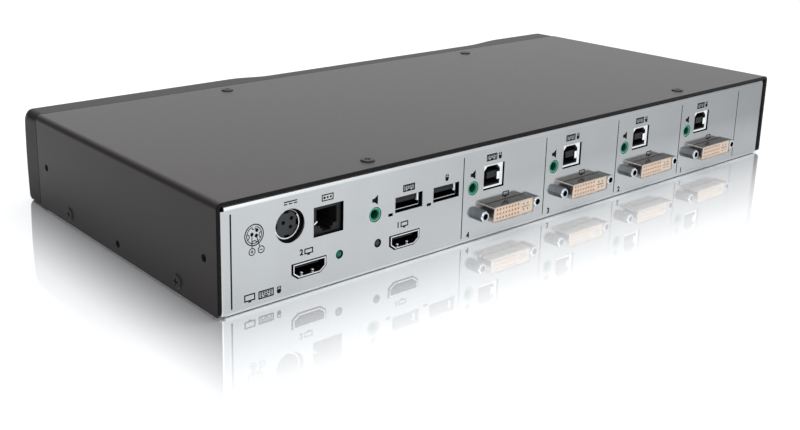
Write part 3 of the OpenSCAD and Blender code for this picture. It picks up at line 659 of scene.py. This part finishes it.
def print_panel():
    """The lines between the ports, and the drawings over the sockets and in the corner."""
    ink = Print(PANEL_Y)
    line_low, line_high = 2.5, 38.7
    for x in [LINE_X[port] for port in PORTS] + [LINE_X[1] - PITCH]:
        ink.bar((x, 0), -0.22, line_low, 0.22, line_high)
    ink.bar((END_LINE_X, 0), -0.32, line_low, 0.32, line_high)
    ink.hand_control((remote_x + 0.6, 36.3))
    ink.monitor((164.6, 5.1), 4.8, 2.8)
    ink.keyboard((157.4, 4.8), 6.8, 3.2)
    ink.mouse((151.6, 4.8))
    ink.speaker((console_x + 0.2, 30.1))
    ink.keyboard((usb_a_x[1] + 0.2, 31.9))
    ink.mouse((usb_a_x[2] - 0.1, 32.0))
    for i in (1, 2):
        ink.monitor((hdmi_x[i] + 0.2, 16.9))
    for port in PORTS:
        ink.speaker((jack_x[port] + 0.4, 30.1))
        ink.keyboard((usb_b_x[port] + 1.8, 36.05))
        ink.mouse((usb_b_x[port] - 3.3, 36.0))
        ink.monitor((dvi_x[port] - 0.2, 17.75))
    ink.done("panel_print")


def print_power_symbol():
    """The polarity drawing of the round power socket, and a direct-current sign over the socket."""
    ink = Print(PANEL_Y)
    at = (162.4, 28.8)
    line = 0.34
    ink.arc(at, 4.0, 0.42)
    ink.arc(at, 3.2, 0.32, 110, 430)
    ink.bar(at, -0.75, 2.1, 0.75, 2.35)
    for side in (-1, 1):
        ink.bar(at, side * 0.75 - 0.12, 2.1, side * 0.75 + 0.12, 3.3)
        start = 100 if side > 0 else -80
        end = 260 if side > 0 else 80
        ink.arc((at[0] - side * 3.2, at[1] - 0.4), 1.1, line, start, end)
    ink.arc((at[0], at[1] - 3.4), 1.2, line, 10, 170)
    pins = {"plus": (-0.95, 0.4), "minus": (0.95, -0.4), "third": (1.2, 1.6)}
    for u, v in pins.values():
        ink.dot((at[0] - u, at[1] + v), 0.72)
    plus, minus = (-0.95, -6.3), (3.0, -6.2)
    ink.stroke(at, pins["plus"], (plus[0], plus[1] + 1.3), line)
    ink.stroke(at, pins["minus"], (minus[0] - 0.55, minus[1] + 1.2), line)
    for u, v in (plus, minus):
        ink.arc((at[0] - u, at[1] + v), 1.3, line)
        ink.bar((at[0] - u, at[1] + v), -0.65, -0.16, 0.65, 0.16)
    ink.bar((at[0] - plus[0], at[1] + plus[1]), -0.16, -0.65, 0.16, 0.65)
    sign = (power_x - 0.2, 37.7)
    ink.bar(sign, -3.0, 0.3, 3.0, 0.75)
    for u in (-3.0, -0.75, 1.5):
        ink.bar(sign, u, -0.6, u + 1.5, -0.15)
    ink.done("power_print")


def print_figures():
    """The numbers of the ports and of the screens."""
    for port in PORTS:
        at = (LINE_X[port] - 4.0, 3.3)
        digit(f"port_figure_{port}", str(port), at, 2.5, PANEL_Y, "black_ink")
    for i in (1, 2):
        at = (hdmi_x[i] + 3.6, 16.9)
        digit(f"screen_figure_{i}", str(i), at, 2.3, PANEL_Y, "black_ink")


# ---------------------------------------------------------------- pins, and springs and rims with painted highlights
DVI_PIN_PITCH = 1.905


def add_boxes(name, boxes, slot):
    """One piece of closed boxes, each given as two corners in millimetres."""
    bm = bmesh.new()
    for low, high in boxes:
        outline = [(low[0] * MM, low[2] * MM), (high[0] * MM, low[2] * MM),
                   (high[0] * MM, high[2] * MM), (low[0] * MM, high[2] * MM)]
        prism(bm, outline, low[1] * MM, high[1] * MM)
    add_piece(name, to_mesh(bm, name), slot)


def dvi_pins():
    """The orange signal contacts in the holes of each DVI socket."""
    half = 0.46
    for port in PORTS:
        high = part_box(f"dvi_core_{port}")[1]
        middle = centre(f"dvi_shell_{port}").z / MM - 0.1
        front = high.y / MM
        boxes = []
        for column in range(8):
            for row in (-1, 0, 1):
                x = dvi_x[port] + 10.2 - DVI_PIN_PITCH * column
                z = middle + DVI_PIN_PITCH * row
                boxes.append(((x - half, front - 3.0, z - half),
                              (x + half, front - 0.12, z + half)))
        add_boxes(f"dvi_pins_{port}", boxes, "copper_pins")


def usb_b_springs():
    """The spring at the inner right wall of each USB-B socket, painted white as a highlight."""
    for port in PORTS:
        low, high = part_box(f"usb_b_shell_{port}")
        edge, z = low.x / MM + 1.75, 27.2
        front = high.y / MM
        boxes = [((edge, front - 0.35, z - 1.9), (edge + 1.5, front - 0.05, z + 1.4))]
        add_boxes(f"usb_b_spring_{port}", boxes, "spring_glint")


def hdmi_springs():
    """Two spring tips low in each HDMI socket, painted white as highlights."""
    for i in (1, 2):
        z, front = 10.1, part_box(f"hdmi_shell_{i}")[1].y / MM
        boxes = [((x - 0.32, front - 2.2, z - 2.1), (x + 0.32, front - 1.4, z - 1.7))
                 for x in (hdmi_x[i] - 2.6, hdmi_x[i] + 2.6)]
        add_boxes(f"hdmi_springs_{i}", boxes, "spring_glint")


def other_springs():
    """Painted highlights: a glint in the remote control socket, a spring bar painted white in each
    USB-A socket, and a glint arc on the power socket's rim.
    """
    glint = Print(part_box("remote_jack")[1].y + 0.02 * MM)
    glint.stroke((remote_x, 27.35), (-5.9, -1.3), (-4.4, -0.45), 0.5)
    glint.done("remote_glint", "spring_glint")
    low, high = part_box("power_jack_shield")
    # A painted highlight: a near-white arc on the front of the power socket's shield.
    rim = Print(high.y)
    rim.arc((power_x, power_z), (high.x - low.x) / 2 / MM - 0.3, 0.4, -190, 35)
    rim.done("power_jack_rim_glint", "spring_glint")
    for i in (1, 2):
        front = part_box(f"usb_a_shell_{i}")[1].y / MM
        x = usb_a_x[i]
        boxes = [((x - 6.2, front - 1.0, 24.9), (x - 5.6, front - 0.15, 28.2))]
        add_boxes(f"usb_a_spring_{i}", boxes, "spring_glint")


def front_figures():
    """The numbers under the channel buttons, on the recessed middle of the bezel."""
    for port in PORTS:
        low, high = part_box(f"channel_button_{port}")
        x = (low.x + high.x) / 2 / MM
        face = low.y + 0.00115
        digit(f"button_figure_{port}", str(port), (x, 12.2), 3.2, face, "pale_ink", facing=-1)


dvi_pins()
usb_b_springs()
hdmi_springs()
other_springs()
front_figures()
print_panel()
print_power_symbol()
print_figures()
